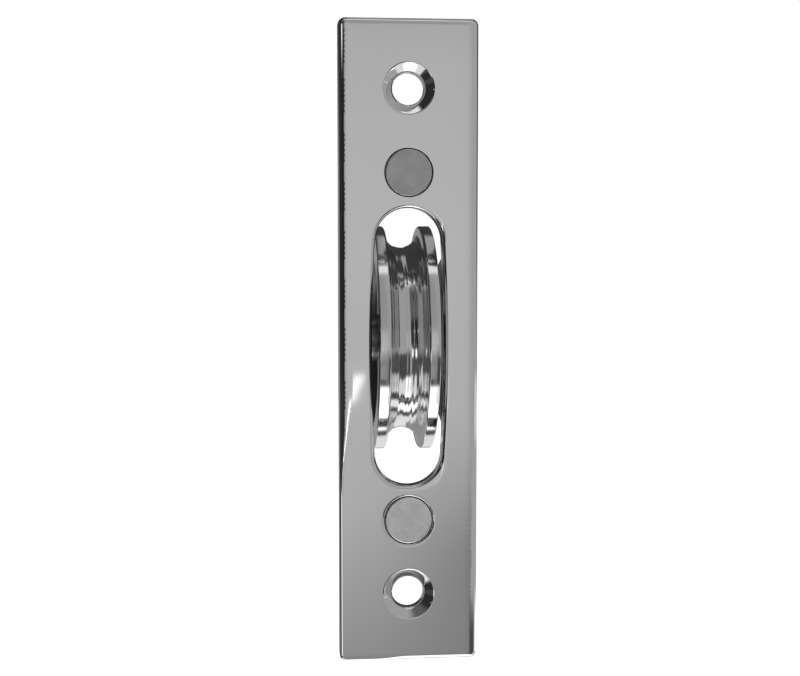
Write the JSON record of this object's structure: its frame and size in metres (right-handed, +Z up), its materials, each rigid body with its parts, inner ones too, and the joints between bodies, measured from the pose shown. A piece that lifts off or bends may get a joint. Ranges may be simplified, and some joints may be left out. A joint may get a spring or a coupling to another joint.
{
  "type": "sash window axle pulley",
  "caption": "Window sash pulley: a grooved sheave on a ball bearing, held in a pressed cradle riveted behind a slotted faceplate with countersunk screw holes.",
  "frame": {"origin": "centre of the faceplate's back plane, where it rests on the window stile", "axes": "-Y out of the faceplate's seen face, +Y into the stile, +Z up along the faceplate, +X to the right seen from the front; the sheave's axle runs along X"},
  "size_m": [0.026, 0.044, 0.12],
  "materials": {
    "faceplate": "polished plating with fine wiping marks, slightly soft reflections",
    "sheave": "turned and polished plating, fine turning lines in the groove",
    "cradle": "zinc plated pressed sheet, dull satin",
    "rivet": "flush, mottled satin face left by peening and wiping",
    "axle": "turned steel with a peened end",
    "bearing": "ground bearing steel",
    "ball": "mirror polished steel",
    "cage": "pressed sheet, dull"
  },
  "bodies": {
    "frame": {"faceplate": "faceplate", "cradle": "cradle", "rivet_upper": "rivet", "rivet_lower": "rivet", "axle_pin": "axle", "axle_washer": "axle", "spacer_left": "axle", "spacer_right": "axle", "bearing_inner_race": "bearing"},
    "wheel": {"sheave": "sheave", "bearing_outer_race": "bearing", "bearing_shield_left": "bearing", "bearing_shield_right": "bearing"},
    "cage": {"bearing_cage": "cage"},
    "ball_1": {"bearing_ball_1": "ball"},
    "ball_2": {"bearing_ball_2": "ball"},
    "ball_3": {"bearing_ball_3": "ball"},
    "ball_4": {"bearing_ball_4": "ball"},
    "ball_5": {"bearing_ball_5": "ball"},
    "ball_6": {"bearing_ball_6": "ball"},
    "ball_7": {"bearing_ball_7": "ball"}
  },
  "joints": [
    {"name": "sheave_spin", "type": "hinge", "parent": "frame", "child": "wheel", "pos_m": [0, 0.0148, 0], "axis": [1, 0, 0], "continuous": true},
    {"name": "cage_orbit", "type": "hinge", "parent": "frame", "child": "cage", "pos_m": [0, 0.0148, 0], "axis": [1, 0, 0], "continuous": true},
    {"name": "ball_1_roll", "type": "hinge", "parent": "cage", "child": "ball_1", "pos_m": [0, 0.0148, 0.00625], "axis": [1, 0, 0], "continuous": true},
    {"name": "ball_2_roll", "type": "hinge", "parent": "cage", "child": "ball_2", "pos_m": [0, 0.01969, 0.0039], "axis": [1, 0, 0], "continuous": true},
    {"name": "ball_3_roll", "type": "hinge", "parent": "cage", "child": "ball_3", "pos_m": [0, 0.02089, -0.00139], "axis": [1, 0, 0], "continuous": true},
    {"name": "ball_4_roll", "type": "hinge", "parent": "cage", "child": "ball_4", "pos_m": [0, 0.01751, -0.00563], "axis": [1, 0, 0], "continuous": true},
    {"name": "ball_5_roll", "type": "hinge", "parent": "cage", "child": "ball_5", "pos_m": [0, 0.01209, -0.00563], "axis": [1, 0, 0], "continuous": true},
    {"name": "ball_6_roll", "type": "hinge", "parent": "cage", "child": "ball_6", "pos_m": [0, 0.00871, -0.00139], "axis": [1, 0, 0], "continuous": true},
    {"name": "ball_7_roll", "type": "hinge", "parent": "cage", "child": "ball_7", "pos_m": [0, 0.00991, 0.0039], "axis": [1, 0, 0], "continuous": true}
  ],
  "couplings": [
    {"joint": "cage_orbit", "follows": "sheave_spin", "ratio": 0.64},
    {"joint": "ball_1_roll", "follows": "sheave_spin", "ratio": 1.6457},
    {"joint": "ball_2_roll", "follows": "sheave_spin", "ratio": 1.6457},
    {"joint": "ball_3_roll", "follows": "sheave_spin", "ratio": 1.6457},
    {"joint": "ball_4_roll", "follows": "sheave_spin", "ratio": 1.6457},
    {"joint": "ball_5_roll", "follows": "sheave_spin", "ratio": 1.6457},
    {"joint": "ball_6_roll", "follows": "sheave_spin", "ratio": 1.6457},
    {"joint": "ball_7_roll", "follows": "sheave_spin", "ratio": 1.6457}
  ]
}
